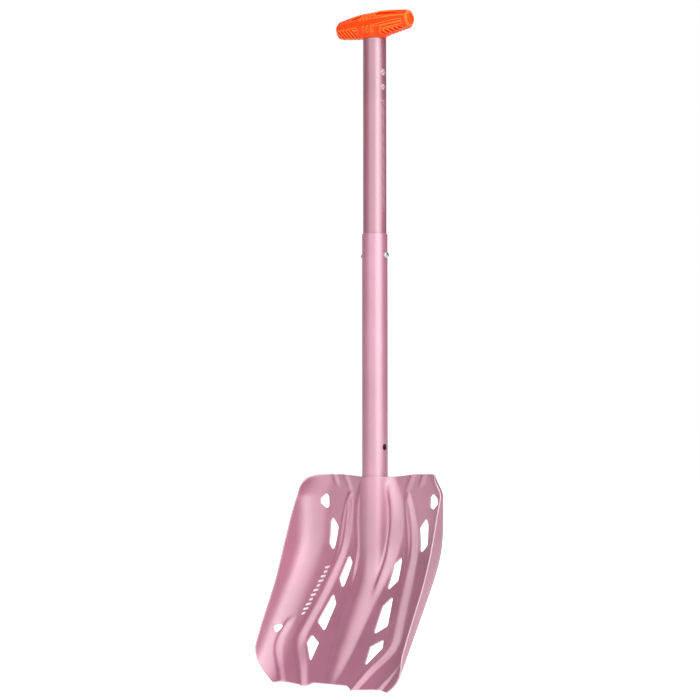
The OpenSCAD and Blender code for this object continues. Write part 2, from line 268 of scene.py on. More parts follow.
# the grip's orange, then its painted highlight and painted shade colours
ORANGE = moulded("grip_plastic", (1.0, 0.066, 0.001), edges=((1.0, 0.30, 0.045), (0.50, 0.025, 0.001)))
CAP_ORANGE = moulded("cap_plastic", (1.0, 0.085, 0.002))
BLACK = moulded("core_plastic", (0.03, 0.03, 0.035), roughness=0.5)
STEEL = steel("stainless")
PRINT = printed("pale_print", (0.74, 0.66, 0.69), (0.90, 0.85, 0.87))
ETCH = printed("etched_mark", (0.62, 0.36, 0.42), (0.80, 0.55, 0.60))


# ---------------------------------------------------------------- curves that the shapes share

def ease(t):
    """0 before 0, 1 after 1, and smooth between them."""
    t = np.clip(t, 0, 1)
    return t * t * (3 - 2 * t)


def fade(value, start, end):
    """0 at the start and before it, 1 at the end and past it, and smooth between them."""
    return ease((value - start) / (end - start))


def hump(t):
    """1 at 0, smoothly down to 0 at -1 and 1."""
    return np.where(np.abs(t) < 1, np.cos(np.clip(t, -1, 1) * math.pi / 2) ** 2, 0.0)


def soft_max(soft, *values):
    """The greatest of some values, rounded where they cross."""
    total = values[0]
    for value in values[1:]:
        total = soft * np.logaddexp(total / soft, value / soft)
    return total


class SmoothPath:
    """A value that follows given points along z, rounded at each of them."""

    SAMPLES, REACH = 600, 60

    def __init__(self, points, soft):
        zs, values = zip(*sorted(points))
        self.z = np.linspace(zs[0], zs[-1], self.SAMPLES)
        raw = np.interp(self.z, zs, values)
        offsets = np.arange(-self.REACH, self.REACH + 1) * (self.z[1] - self.z[0])
        weight = np.exp(-0.5 * (offsets / soft) ** 2)
        before = 2 * raw[0] - raw[self.REACH:0:-1]
        after = 2 * raw[-1] - raw[-2:-self.REACH - 2:-1]
        self.value = np.convolve(np.concatenate([before, raw, after]), weight / weight.sum(), "valid")

    def __call__(self, z):
        return np.interp(z, self.z, self.value)


# ---------------------------------------------------------------- blade shape (millimetres)

# s runs across the sheet as if it were flat, and z is up; x and y follow from them.
THICK = 1.8
SHEET_Y = 7.0                               # the flat's front face at the top, behind the shaft's axis
FLAT_HALF, TOP_NARROWING = 78.0, 13.0       # half the flat's width, and how much less it is at the top
WALL_R, WALL_ANGLE = 30.0, math.radians(82)  # the bend between the flat and a side wall
ARC = WALL_R * WALL_ANGLE
SLOPE, BEND_Z, BEND_SOFT = 0.61, -88.0, 12.0    # the sheet leans forward by SLOPE below BEND_Z
BOTTOM = -234.0                             # the front edge, without its teeth
SOCKET_R = 17.5                             # the pressed socket round the lower tube
SOCKET_SHARE, SOCKET_FALL = 0.92, 2.35      # how much of it is round, and the slope of its sides
SOCKET_FLOOR = -9.0                         # the socket's sides fall to this far behind the flat
SINK = 0.6                                  # a shape's base is sunk this far before a soft join
CREST_HEIGHT, CREST_HALF = 1.4, 6           # the shoulder's crest, and its half width
DIP_DEPTH, DIP_HALF, DIP_AWAY = 2.6, 5, 6   # the dip beside it, towards the socket
RIB_HEIGHT, RIB_GAIN = 4.4, 0.6             # the long rib, and how much more it stands out below
RIB_FLANK, RIB_FLANK_GAIN = 0.62, 0.36      # its rounded flanks, as shares of its half width
GROOVE_DEPTH, GROOVE_HALF = 0.9, 0.36       # its groove, as a depth and a share of its half width
OUTER_HEIGHT, OUTER_HALF = 3.0, 6.5         # the short outer rib, and its half width
TOP_RIB_HEIGHT, TOP_RIB_HALF = 1.8, 5.6
INNER_TOOTH, INNER_TOOTH_DEPTH = 35, 4      # the front edge's teeth: where they are, and how low
OUTER_TOOTH, OUTER_TOOTH_DEPTH = 86, 3.4

# the sheet's edge beside the walls, as (z, s), and the top corner that it runs into, as (s, z)
RIM = SmoothPath([(-238, 84), (-231, 94), (-222, 104.5), (-210, 116), (-198, 124), (-171, 128),
                  (-131, 132), (-100, 136), (-80, 136), (-52, 129), (-35, 123), (-17.5, 115.9)], 4)
TOP_CORNER = [(115.9, -17.5), (112.6, -9.8), (105.4, -3), (98.4, 0.6), (89, 2.6), (80, 3.1)]

# the raised shoulder beside the socket: where its crest is, how wide its fall, and how high it stands
CREST = SmoothPath([(-242, 15), (-165, 15), (-134, 18), (-117, 20.5), (-101, 22.5), (-78, 23.5),
                    (-65, 25), (-50, 26), (-32, 25), (-16, 21), (0, 16), (5, 15)], 4)
FALL = SmoothPath([(-242, 8), (-165, 8), (-130, 9), (-95, 12), (-50, 14), (-20, 13), (5, 10)], 6)
SHOULDER = SmoothPath([(-242, 0), (-172, 0), (-152, 1.2), (-134, 4.2), (-115, 6.4), (-95, 7.4),
                       (-50, 8), (-20, 7.5), (5, 6.4)], 6)

# the middle ridge below the socket: its height and half width
DOME = SmoothPath([(-242, 0), (-236, 0.6), (-228, 2.4), (-215, 4.6), (-195, 7), (-165, 9.4), (-143, 11),
                   (-125, 12.4), (-110, 13.4), (-95, 14), (-80, 12), (5, 8)], 5)
DOME_W = SmoothPath([(-242, 5), (-228, 9.5), (-215, 13.5), (-195, 17.5), (-165, 21), (-143, 22.5),
                     (-110, 22), (-95, 20.5), (-80, 19), (5, 18)], 5)

# the long rib on each side: its middle line and half width
RIB = SmoothPath([(-242, 35), (-236, 38), (-215, 51), (-203, 61.5), (-196, 66.5), (-190, 69),
                  (-184, 69.6), (-176, 68.2), (-150, 62.5), (-127, 58.5), (-107, 55.5), (-84, 52.4),
                  (-56, 49), (-24, 44), (-15, 42.5)], 3)
RIB_W = SmoothPath([(-242, 5.5), (-225, 7.5), (-205, 10.4), (-140, 11), (-90, 9.5), (-50, 8.6),
                    (-24, 5.5), (-15, 4)], 4)

# the short outer rib near the bottom: its middle line
OUTER = SmoothPath([(-242, 68), (-236, 71), (-228, 76.5), (-215, 86), (-205, 92.5), (-196, 95.8),
                    (-186, 96.6), (-166, 92.6), (-160, 91)], 3)

# the two short ribs under the top edge: x at the edge, how far they run inwards, and their length
TOP_RIBS = [(50, 9, 19), (67, 6, 14)]


def half_at(z):
    """Half the width of the flat, which narrows towards the top corners."""
    return FLAT_HALF - TOP_NARROWING * fade(z, -24, 7)


def bend_at(s, z):
    """How far the sheet has turned at s, up to the side wall's angle."""
    return np.clip((np.abs(s) - half_at(z)) / ARC, 0, 1) * WALL_ANGLE


def past(s, z):
    """How far s lies on the straight wall, past the bend."""
    return np.maximum(0, np.abs(s) - half_at(z) - ARC)


def side_x(s, z):
    """The place across the blade of a point of the flat sheet."""
    return np.sign(s) * (np.minimum(np.abs(s), half_at(z)) + WALL_R * np.sin(bend_at(s, z))
                         + past(s, z) * math.cos(WALL_ANGLE))


def side_y(s, z):
    """How far the bend and the wall bring a point forward."""
    return WALL_R * (1 - np.cos(bend_at(s, z))) + past(s, z) * math.sin(WALL_ANGLE)


def flat_y(z):
    """The flat's front face, which leans forward below the bend."""
    return SHEET_Y - SLOPE * BEND_SOFT * np.logaddexp(0, (BEND_Z - z) / BEND_SOFT)


def top_z(x):
    """The top edge, which dips at the socket."""
    return 0.4 + 2.8 * fade(np.abs(x), 20, 60)


def bottom_z(x):
    """The front edge, lower where the ribs run out."""
    a = np.abs(x)
    off = a - INNER_TOOTH
    inner = np.where(off < 0, hump(off / 12), np.clip(1 - off / 50, 0, 1))
    return BOTTOM - INNER_TOOTH_DEPTH * inner - OUTER_TOOTH_DEPTH * hump((a - OUTER_TOOTH) / 16)


def tube_bulge(x, share, fall):
    """A round bulge of the socket's radius up to a share of it, then straight sides that fall away."""
    a, reach = np.abs(x), share * SOCKET_R
    root = math.sqrt(SOCKET_R ** 2 - reach * reach)
    arc = np.sqrt(np.maximum(SOCKET_R ** 2 - a * a, 1e-9))
    return np.where(a < reach, arc, root - (a - reach) * fall)


def shoulder_height(a, z):
    """The shoulder, with a crest and a dip beside it in the blade's upper half."""
    crest, fall = CREST(z), FALL(z)
    plain = SHOULDER(z) * fade(a, crest + fall, crest)
    fold = CREST_HEIGHT * hump((a - crest) / CREST_HALF)
    fold = fold - DIP_DEPTH * hump((a - crest + DIP_AWAY) / DIP_HALF)
    return plain + fold * fade(z, -145, -100)


def middle_height(x, z):
    """The socket round the tube and the ridge that it runs into, joined most softly where it ends."""
    dome = DOME(z) * np.clip(1 - (np.abs(x) / DOME_W(z)) ** 2, 0, 1) ** 1.25
    socket = np.maximum(flat_y(z) + tube_bulge(x, SOCKET_SHARE, SOCKET_FALL), SOCKET_FLOOR)
    return soft_max(0.9 + 3.2 * hump((z + 100) / 34), dome - SINK, socket)


def long_rib_height(a, z):
    """The long rib: higher and rounder below, grooved along its upper half, and none near the top."""
    off, width, lower = a - RIB(z), RIB_W(z), fade(z, -60, -120)
    flank = (RIB_FLANK + RIB_FLANK_GAIN * lower) * width
    rib = (RIB_HEIGHT + RIB_GAIN * lower) * ease((width - np.abs(off)) / flank)
    groove = GROOVE_DEPTH * hump(off / (GROOVE_HALF * width)) * fade(z, -28, -42) * fade(z, -122, -77)
    return (rib - groove) * fade(z, -14, -28)


def outer_rib_height(s, z):
    """The short rib near the bottom corner."""
    return OUTER_HEIGHT * fade(z, -162, -172) * hump((np.abs(s) - OUTER(z)) / OUTER_HALF)


def top_rib_height(a, z, start, run, length):
    """A short rib that slants down and inwards from the top edge."""
    off = a - start - run * z / length
    return TOP_RIB_HEIGHT * fade(z, -length, 8 - length) * hump(off / TOP_RIB_HALF)


def press(s, z):
    """How far the ribs stand forward of the plain sheet."""
    x = side_x(s, z)
    a = np.abs(x)
    height = soft_max(1.1, shoulder_height(a, z) - SINK, middle_height(x, z))
    height = height + long_rib_height(a, z) + outer_rib_height(s, z)
    for rib in TOP_RIBS:
        height = height + top_rib_height(a, z, *rib)
    return height


def front_point(s, z):
    """The place of a point of the sheet's front face."""
    flatness = np.cos(np.minimum(bend_at(s, z), math.radians(60)))
    y = flat_y(z) - side_y(s, z) - press(s, z) * (0.4 + 0.6 * flatness)
    return np.stack([side_x(s, z), y, z], axis=-1)


def back_normal(s, z):
    """Unit vectors from the front face through the sheet to its back."""
    step = 0.3
    across = front_point(s + step, z) - front_point(s - step, z)
    along = front_point(s, z + step) - front_point(s, z - step)
    normal = np.cross(across, along)
    normal /= np.linalg.norm(normal, axis=-1, keepdims=True)
    return normal * np.where(normal[..., 1:2] < 0, -1.0, 1.0)


# ---------------------------------------------------------------- outlines

# the lightening holes of one half of the blade, as (s, z) of the flat sheet
HOLES = [
    [(80.5, -19), (88.5, -25.5), (88.5, -31), (80.5, -37.5), (76.2, -35), (76.6, -23.5)],
    [(70.5, -47.4), (73.6, -54), (73.8, -79), (67.3, -86.3), (64.4, -84), (61.3, -59)],
    [(38.6, -93), (40.6, -95), (44.2, -119), (35.7, -128.8), (32.6, -127.4), (31.8, -100.6)],
    [(44.8, -135.8), (52.4, -168.5), (38.8, -177.4), (36.4, -176), (34.8, -147.8)],
    [(53.6, -182.8), (56.6, -192.3), (42.4, -210.4), (40, -210.4), (38.4, -191.6)],
    [(111, -174), (101, -172.8), (97.8, -175.8), (103.2, -183.5)]]
HOLE_CORNER_R, HOLE_STEP = 2.4, 0.8
EDGE_STEP = 1.5
CORNER_POINTS, CORNER_SHARE = 9, 0.45   # points round a corner, and the most of a side that it takes
FEWEST_POINTS = 12                      # of a closed outline
BOTTOM_S, BOTTOM_Z = 84, -236           # where the front edge meets the side's edge
RIM_TOP_Z = -18.5                       # where the side's edge meets the top corner
TOP_S, TOP_Z = 79, 3.0                  # where the top corner meets the top edge


def run_along(path):
    """The distance along a path at each of its points."""
    return np.concatenate([[0], np.cumsum(np.linalg.norm(np.diff(path, axis=0), axis=1))])


def evenly(path, count):
    """Points at even distances along a closed path whose last point is its first."""
    run = run_along(path)
    at = np.linspace(0, run[-1], count, endpoint=False)
    return np.stack([np.interp(at, run, path[:, k]) for k in (0, 1)], axis=1)


def rounded(points, radius, step):
    """A closed outline with rounded corners and even points along it."""
    points = [np.array(p, float) for p in points]
    dense = []
    for i, p in enumerate(points):
        before, after = points[i - 1] - p, points[(i + 1) % len(points)] - p
        run_before, run_after = np.linalg.norm(before), np.linalg.norm(after)
        half = math.acos(np.clip(before @ after / run_before / run_after, -1, 1)) / 2
        cut = min(radius / math.tan(half), CORNER_SHARE * run_before, CORNER_SHARE * run_after)
        start, end = p + before / run_before * cut, p + after / run_after * cut
        for t in np.linspace(0, 1, CORNER_POINTS):
            dense.append((1 - t) ** 2 * start + 2 * t * (1 - t) * p + t * t * end)
    path = np.array(dense + [dense[0]])
    return evenly(path, max(FEWEST_POINTS, int(round(run_along(path)[-1] / step))))


def corners_cut(path, times):
    """An open path made rounder by cutting its corners, its ends kept."""
    for _ in range(times):
        here, ahead = path[:-1], path[1:]
        cuts = np.stack([0.75 * here + 0.25 * ahead, 0.25 * here + 0.75 * ahead], axis=1)
        path = np.concatenate([path[:1], cuts.reshape(-1, 2), path[-1:]])
    return path


def sheet_outline():
    """The blade's edge, laid flat, counter-clockwise from the bottom middle."""
    right = [(s, float(bottom_z(side_x(s, BOTTOM_Z)))) for s in np.linspace(0, BOTTOM_S, 85)]
    right += [(float(RIM(z)), z) for z in np.linspace(BOTTOM_Z, RIM_TOP_Z, 140)]
    right += [tuple(p) for p in corners_cut(np.array(TOP_CORNER, float), 3)]
    right += [(s, float(top_z(side_x(s, TOP_Z)))) for s in np.linspace(TOP_S, 0, 80)]
    whole = np.array(right + [(-s, z) for s, z in right[-2:0:-1]])
    whole = np.vstack([whole, whole[:1]])
    return evenly(whole, int(run_along(whole)[-1] / EDGE_STEP))


def ring_of(points, outer=False):
    """An outline turned counter-clockwise if it is the outer one, and clockwise if it is a hole."""
    area = np.sum(points[:, 0] * np.roll(points[:, 1], -1) - np.roll(points[:, 0], -1) * points[:, 1])
    return points if (area > 0) == outer else points[::-1]


def inward(loop):
    """Unit vectors from an outline into the sheet, to the left of its direction."""
    along = np.roll(loop, -1, axis=0) - np.roll(loop, 1, axis=0)
    along /= np.linalg.norm(along, axis=1, keepdims=True)
    return np.stack([-along[:, 1], along[:, 0]], axis=1)


def inside(points, loop):
    """Which of the points lie inside an outline."""
    x, y = points[:, 0][:, None], points[:, 1][:, None]
    ax, ay = loop[:, 0], loop[:, 1]
    bx, by = np.roll(ax, -1), np.roll(ay, -1)
    cross = (ay > y) != (by > y)
    with np.errstate(divide="ignore", invalid="ignore"):
        hit = x < (bx - ax) * (y - ay) / (by - ay) + ax
    return (cross & hit).sum(axis=1) % 2 == 1


def nearest(points, loops):
    """Each point's distance from the nearest point of some outlines, worked out in batches."""
    targets, batch = np.concatenate(loops), 2000
    best = np.empty(len(points))
    for start in range(0, len(points), batch):
        part = points[start:start + batch]
        best[start:start + batch] = np.linalg.norm(part[:, None, :] - targets[None], axis=2).min(axis=1)
    return best


def staggered(low_u, high_u, low_v, high_v, step_u, step_v):
    """A grid of points, every other row moved by half a step."""
    rows = []
    for row, v in enumerate(np.arange(low_v, high_v, step_v)):
        rows += [(u, v) for u in np.arange(low_u, high_u, step_u) + (row % 2) * step_u / 2]
    return np.array(rows)


def closed_edges(first, count):
    """The edges of a closed ring of points that starts at an index."""
    return [(first + i, first + (i + 1) % count) for i in range(count)]


def triangulated(points, edges):
    """Triangles between points in a plane that keep the given edges, and where each point came from."""
    found, _, triangles, origin, _, _ = delaunay_2d_cdt([Vector(p) for p in points], edges, [], 0, 1e-6)
    return np.array([tuple(v) for v in found]), np.array(triangles), origin


# ---------------------------------------------------------------- making meshes

RIM_INSET = 0.55        # how far the flat faces stop short of the outline
RIM_CLEAR = 0.9         # how far the inner points stay from where the faces stop
EDGE_CUT, EDGE_DROP, EDGE_ROUND = 0.16, 0.12, 0.5       # the rounding of a sheet's edge
WEAR_REACH, WEAR = 1.2, 0.12                            # faint wear on the faces beside an edge


def make_mesh(name, points, faces, edge=None):
    """A new smooth piece from points in millimetres, with a value for each point if given."""
    mesh = bpy.data.meshes.new(name)
    mesh.from_pydata([tuple(p) for p in np.asarray(points) * MM], [], faces)
    mesh.validate()
    mesh.shade_smooth()
    if edge is not None:
        values = mesh.attributes.new("edge", "FLOAT", "POINT")
        values.data.foreach_set("value", np.asarray(edge, float))
    piece = bpy.data.objects.new(name, mesh)
    bpy.context.scene.collection.objects.link(piece)
    return piece


def face_outwards(piece):
    """Turn every face of a closed piece outwards."""
    bm = bmesh.new()
    bm.from_mesh(piece.data)
    bmesh.ops.recalc_face_normals(bm, faces=bm.faces)
    bm.to_mesh(piece.data)
    bm.free()


def pressed_sheet(name, loops, grid, front, through, thick):
    """A sheet with a triangulated face and back, and a rounded edge round every outline."""
    sides = [inward(loop) for loop in loops]
    rims = [loop + side * RIM_INSET for loop, side in zip(loops, sides)]

    def on_sheet(points):
        keep = inside(points, rims[0])
        for rim in rims[1:]:
            keep &= ~inside(points, rim)
        return keep

    grid = grid[on_sheet(grid)]
    grid = grid[nearest(grid, rims) > RIM_CLEAR]
    edges, first = [], 0
    for rim in rims:
        edges += closed_edges(first, len(rim))
        first += len(rim)
    where, triangles, origin = triangulated(np.concatenate(rims + [grid]), edges)
    triangles = triangles[on_sheet(where[triangles].mean(axis=1))]
    new_index = {old: new for new, olds in enumerate(origin) for old in olds}

    face, towards_back = front(where[:, 0], where[:, 1]), through(where[:, 0], where[:, 1])
    near = np.clip(1 - nearest(where, rims) / WEAR_REACH, 0, 1) * WEAR
    points, edge = [face, face + towards_back * thick], [near, near]
    count = len(where)
    faces = [tuple(t) for t in triangles] + [(a + count, c + count, b + count) for a, b, c in triangles]
    total, first = 2 * count, 0
    profile = [(EDGE_CUT, EDGE_DROP), (0, EDGE_ROUND)]
    profile += [(inset, thick - depth) for inset, depth in reversed(profile)]
    for loop, side in zip(loops, sides):
        size = len(loop)
        rings = [[new_index[first + i] for i in range(size)]]
        for inset, depth in profile:
            at = loop + side * inset
            points.append(front(at[:, 0], at[:, 1]) + through(at[:, 0], at[:, 1]) * depth)
            edge.append(np.ones(size))
            rings.append([total + i for i in range(size)])
            total += size
        rings.append([new_index[first + i] + count for i in range(size)])
        for upper, lower in zip(rings, rings[1:]):
            faces += [(upper[j], upper[i], lower[i], lower[j]) for i, j in closed_edges(0, size)]
        first += size
    piece = make_mesh(name, np.concatenate(points), faces, np.concatenate(edge))
    face_outwards(piece)
    return piece


def place(piece, body, material, node=None):
    """Dress a new piece, let it ride its body, and hide the CAD node that it replaces."""
    piece.data.materials.append(material)
    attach(piece, body)
    if node:
        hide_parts(node)


# ---------------------------------------------------------------- blade

def blade_sheet():
    """The stamped blade, with its holes on both halves."""
    loops = [sheet_outline()]
    for outline in HOLES:
        for side in (-1, 1):
            hole = [(side * s, z) for s, z in outline]
            loops.append(ring_of(rounded(hole, HOLE_CORNER_R, HOLE_STEP)))
    half_width, low, high = 138, -242, 6
    grid = staggered(-half_width, half_width + 0.1, low, high, 1.7, 1.45)
    return pressed_sheet("blade_sheet", loops, grid, front_point, back_normal, THICK)


place(blade_sheet(), "blade_body", BLADE, "blade")


# ---------------------------------------------------------------- plate behind the socket

PLATE_HALF = cad_span("socket_back", X)[1]
PLATE_BOTTOM, PLATE_TOP = cad_span("socket_back", Z)
PLATE_THICK, PLATE_CUT, PLATE_CORNER_R = 1.5, 6.4, 4
PLATE_SHARE, PLATE_FALL = 0.9, 2.2      # how much of its bulge is round, and the slope of its sides
LOCK_Z, LOCK_HOLE_R = cad_middle("lock_button", Z), 4.3
FLANGE_GAP = 1.75                       # the flanges' outer face, behind the sheet's back
WELDS = [(side * x, z) for side in (-1, 1) for x, z in ((30, -17), (31, -38), (31, -59), (30, -79))]
WELD_R, WELD_DEPTH = 3.4, 0.55          # a spot weld's dent
WELD_RIM_R, WELD_RIM_HALF, WELD_RIM_HEIGHT = 3.6, 1.2, 0.18


def plate_y(x, z):
    """The plate's outer face: a bulge round the tube, flanges that lie on the sheet, and spot welds."""
    lean = np.arctan(SLOPE * np.clip((BEND_Z + 20 - z) / 40, 0, 1))
    flange = flat_y(z) + THICK / np.cos(lean) + FLANGE_GAP
    face = soft_max(0.7, tube_bulge(x, PLATE_SHARE, PLATE_FALL), flange)
    for weld_x, weld_z in WELDS:
        gap = np.hypot(x - weld_x, z - weld_z)
        rim = WELD_RIM_HEIGHT * hump((gap - WELD_RIM_R) / WELD_RIM_HALF)
        face = face - WELD_DEPTH * hump(gap / WELD_R) + rim
    return face


def plate_point(x, z):
    """The place of a point of the plate's outer face."""
    return np.stack([x, plate_y(x, z), z], axis=-1)


def plate_inward(x, z):
    """Unit vectors from the plate's outer face through it."""
    step = 0.2
    slope_x = (plate_y(x + step, z) - plate_y(x - step, z)) / (2 * step)
    slope_z = (plate_y(x, z + step) - plate_y(x, z - step)) / (2 * step)
    normal = np.stack([slope_x, -np.ones_like(x), slope_z], axis=-1)
    return normal / np.linalg.norm(normal, axis=-1, keepdims=True)


def socket_plate():
    """The plate with cut corners and the lock button's hole."""
    half, top, low, cut = PLATE_HALF, PLATE_TOP, PLATE_BOTTOM, PLATE_CUT
    corners = [(-half, low + cut), (-half + cut, low), (half - cut, low), (half, low + cut),
               (half, top - cut), (half - cut, top), (-half + cut, top), (-half, top - cut)]
    around = np.linspace(0, 2 * math.pi, 56, endpoint=False)
    hole = np.stack([LOCK_HOLE_R * np.cos(around), LOCK_Z + LOCK_HOLE_R * np.sin(around)], axis=1)
    loops = [ring_of(rounded(corners, PLATE_CORNER_R, 1.2), outer=True), ring_of(hole)]
    grid = staggered(-half, half, low, top, 0.95, 1.1)
    return pressed_sheet("socket_plate", loops, grid, plate_point, plate_inward, PLATE_THICK)


place(socket_plate(), "blade_body", BLADE, "socket_back")


# ---------------------------------------------------------------- grip

GRIP_HALF = cad_span("grip_shell", X)[1]
NECK_Z, GRIP_TOP = cad_span("grip_shell", Z)
UPPER_R = cad_span("upper_tube", X)[1]
GAP = 0.1                                       # clearance round the parts set into the grip
SPIGOT_R = cad_span("grip_core", X)[1] + GAP
SPIGOT_TOP = cad_span("grip_core", Z)[1] + GAP
CAP_Z, CAP_R = cad_middle("grip_cap_right", Z), 6.05
CAP_SEAT = cad_span("grip_cap_right", X)[0] - GAP / 2
TAPER_FROM = 13                                 # the grip tapers from here to its ends
SIDE_Y, SIDE_TAPER = 14.5, 5.2                  # half its depth, and how much less at the ends
TOP_TAPER, UNDER_TAPER = 4.3, 5.4               # how much its top falls and its underside rises
FOLD_HIGH, FOLD_LOW = 0.66, 0.36                # the folds between its faces, as shares of its height
END_CHAMFER = 3.2
NECK_GAIN = 0.5                                 # the neck widens by this above the tube
RIM_LIGHT = 0.55                                # how far outside a recess its painted highlight lies
FOLD_HIGHLIGHT_FROM = 120                                 # the upper fold gets a painted highlight where -x*y is more than this

# Recesses are bars with round ends: from (u, v), to (u, v), and the radius. u runs along the grip.
# v runs over UPPER_FACE or UNDER_FACE from the lower to the upper side of a slanting face, up from
# the lower fold for the rails, and up from the neck's lower edge for the stubs.
UPPER_FACE, UNDER_FACE = 9.5, 8.5
SLOT_DEPTH, RAIL_DEPTH, STUB_DEPTH, RIB_DEPTH = 2.3, 1.0, 0.6, 2.2
SLOTS = [(-27, 4.2, -14.5, 5.0, 1.9), (11, 5.2, 38, 4.2, 2.0)]
SLOTS += [(-10.6 + 5.2 * i, 1.4, -7.4 + 5.2 * i, 8.6, 1.15) for i in range(4)]
RAILS = [(11, 0.2, 47, 0.8, 0.6), (19, -3.0, 47, -2.4, 0.6),
         (-22, -0.4, -17, -0.6, 0.6), (-22, -3.4, -17, -3.6, 0.6)]
STUBS = [(6.4 * i, 8, 6.4 * i + 0.5, 13, 0.85) for i in (-1, 0, 1)]
GRIP_RIBS = [(-26.5 - 5.4 * i, 7.6, -20.5 - 5.4 * i, -0.5, 1.2) for i in range(5)]
GRIP_RIBS += [(17 + 6.0 * i, 2.4, 21 + 6.0 * i, -0.6, 1.2) for i in range(5)]


def carve(body, region, depth, soft):
    """Press a flat region into the surface to a depth, with softened edges."""
    pocket = np.maximum(region, -(body + depth))
    return soft_max(soft, body, -pocket)


def from_bars(u, v, bars):
    """Distance in a plane from the nearest of some bars with round ends, negative inside."""
    gaps = []
    for u0, v0, u1, v1, radius in bars:
        du, dv = u1 - u0, v1 - v0
        t = np.clip(((u - u0) * du + (v - v0) * dv) / (du * du + dv * dv), 0, 1)
        gaps.append(np.hypot(u - u0 - t * du, v - v0 - t * dv) - radius)
    return np.minimum.reduce(gaps)


def grip_section(x):
    """The height of the grip's top, its underside and its half depth, along its length."""
    t = np.clip((np.abs(x) - TAPER_FROM) / (GRIP_HALF - TAPER_FROM), 0, 1)
    top = GRIP_TOP - TOP_TAPER * t ** 1.3
    low = NECK_Z + 3 + UNDER_TAPER * t ** 1.1
    return top, low, SIDE_Y - SIDE_TAPER * t ** 1.7


def grip_recesses(x, y, z, low, tall):
    """How far points are from each set of recesses, and its depth. The back is the front turned round."""
    along = np.where(y < 0, x, -x)
    middle = np.where(np.abs(y) > 3, 0.0, 50.0)     # no recess near the middle plane
    upper = UPPER_FACE * (z - low - FOLD_HIGH * tall) / ((1 - FOLD_HIGH) * tall)
    band = z - low - FOLD_LOW * tall
    under = UNDER_FACE * (z - low) / (FOLD_LOW * tall)
    sets = ((upper, SLOTS, SLOT_DEPTH), (band, RAILS, RAIL_DEPTH),
            (z - NECK_Z, STUBS, STUB_DEPTH), (under, GRIP_RIBS, RIB_DEPTH))
    return [(from_bars(along, v, bars) + middle, depth) for v, bars, depth in sets]


def grip_body(x, y, z):
    """A bar with a faceted section that tapers towards chamfered ends, as a distance field."""
    top, low, side = grip_section(x)
    tall, a = top - low, np.abs(y)

    def slant(reach, rise, height):
        return ((a - side) * rise + height * reach) / np.hypot(reach, rise)

    upper = slant(0.55 * side, (1 - FOLD_HIGH) * tall, z - low - FOLD_HIGH * tall)
    under = slant(0.5 * side, FOLD_LOW * tall, low + FOLD_LOW * tall - z)
    section = soft_max(0.4, a - side, z - top + 0.1, low - z, upper, under)
    end = np.abs(x) - GRIP_HALF + 0.15
    return soft_max(0.3, section, end, 0.707 * (section + end + END_CHAMFER))


def grip_field(x, y, z):
    """The grip with its neck, recesses and seats: negative inside the plastic."""
    neck_r = UPPER_R + NECK_GAIN * np.clip((z - NECK_Z - 1) / 9, 0, 1) ** 1.6
    neck = soft_max(0.4, np.hypot(x, y) - neck_r, z - NECK_Z - 16, NECK_Z + 0.1 - z)
    shape = -soft_max(1.0, -grip_body(x, y, z), -neck)
    shape = np.maximum(shape, NECK_Z + 0.05 - z)
    top, low, _ = grip_section(x)
    for gap, depth in grip_recesses(x, y, z, low, top - low):
        shape = carve(shape, gap, depth, 0.2)
    shape = np.maximum(shape, -np.maximum(np.hypot(x, y) - SPIGOT_R, z - SPIGOT_TOP))
    mouth = CAP_R + np.clip(np.abs(x) - GRIP_HALF + 1.05, 0, 1)
    seat = np.maximum(np.hypot(y, z - CAP_Z) - mouth, CAP_SEAT - np.abs(x))
    return np.maximum(shape, -seat)


def surface_nets(value, origin, step):
    """The zero surface of a field: one point in each mixed cell, and a face across each crossed edge."""
    shape = tuple(n - 1 for n in value.shape)
    corners = [(i, j, k) for i in (0, 1) for j in (0, 1) for k in (0, 1)]
    part = {c: value[c[0]:c[0] + shape[0], c[1]:c[1] + shape[1], c[2]:c[2] + shape[2]] for c in corners}
    signs = sum((part[c] < 0).astype(np.int8) for c in corners)
    cells = np.argwhere((signs > 0) & (signs < 8))
    at = tuple(cells.T)
    total, hits = np.zeros((len(cells), 3)), np.zeros(len(cells))
    for c in corners:
        for axis in range(3):
            if c[axis]:
                continue
            d = tuple(1 if i == axis else v for i, v in enumerate(c))
            va, vb = part[c][at], part[d][at]
            crossed = (va < 0) != (vb < 0)
            t = np.where(crossed, va / np.where(crossed, va - vb, 1), 0)
            spot = np.array(c, float)[None] + t[:, None] * (np.array(d) - np.array(c))[None]
            total[crossed] += spot[crossed]
            hits += crossed
    points = np.array(origin) + (cells + total / hits[:, None]) * step
    number = -np.ones(shape, int)
    number[at] = np.arange(len(cells))
    faces = []
    for axis in range(3):
        one, two = [i for i in range(3) if i != axis]
        ahead = np.take(value, range(1, value.shape[axis]), axis)
        here = np.take(value, range(value.shape[axis] - 1), axis)
        for e in np.argwhere((ahead < 0) != (here < 0)):
            if e[one] == 0 or e[two] == 0 or e[one] > shape[one] - 1 or e[two] > shape[two] - 1:
                continue
            quad = []
            for da, db in ((0, 0), (1, 0), (1, 1), (0, 1)):
                cell = e.copy()
                cell[one] -= da
                cell[two] -= db
                quad.append(number[tuple(cell)])
            faces.append(tuple(quad))
    return points, faces


